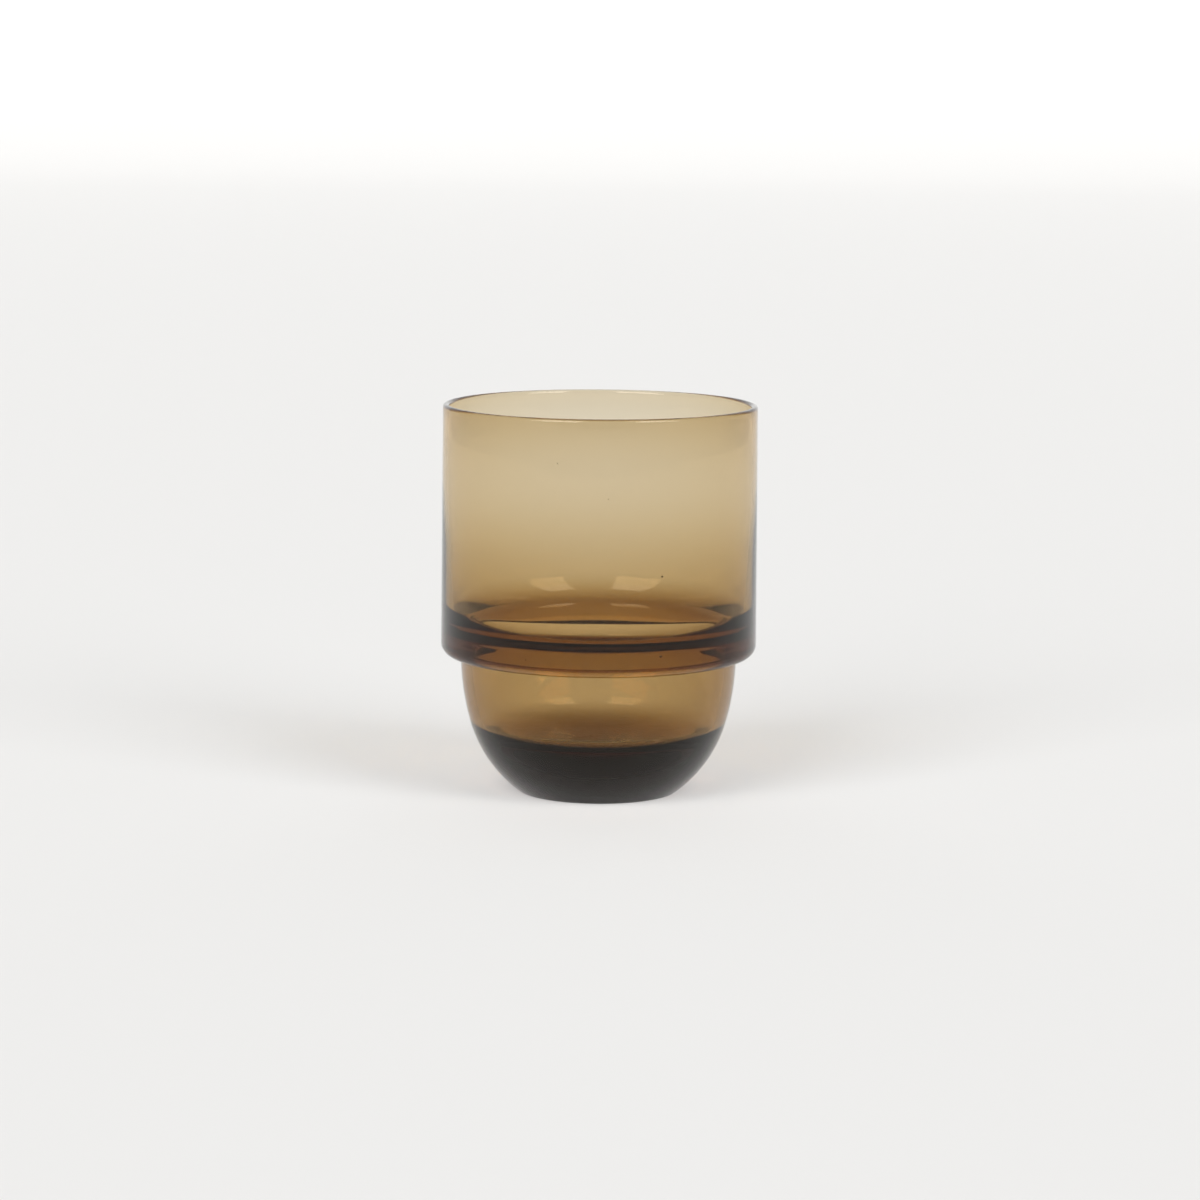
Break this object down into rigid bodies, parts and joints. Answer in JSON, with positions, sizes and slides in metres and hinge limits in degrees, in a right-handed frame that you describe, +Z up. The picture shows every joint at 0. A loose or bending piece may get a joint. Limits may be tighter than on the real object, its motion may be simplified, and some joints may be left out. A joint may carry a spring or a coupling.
{
  "type": "cortado glass",
  "caption": "Stackable smoke-brown cortado glass: a straight-walled chamber over a narrower round bowl with a thick base, and a flat shoulder that rests on the lip of the glass below.",
  "frame": {"origin": "centre of the foot, on the surface that the glass stands on", "axes": "+Z up along the glass's axis, from the foot to the lip; the glass is the same all round, so +X and +Y are any two level directions"},
  "size_m": [0.0686, 0.0686, 0.0845],
  "materials": {
    "smoke_glass": "polished, clear, smoke-brown through its whole thickness"
  },
  "bodies": {
    "root": {"tumbler": "smoke_glass"}
  },
  "joints": []
}
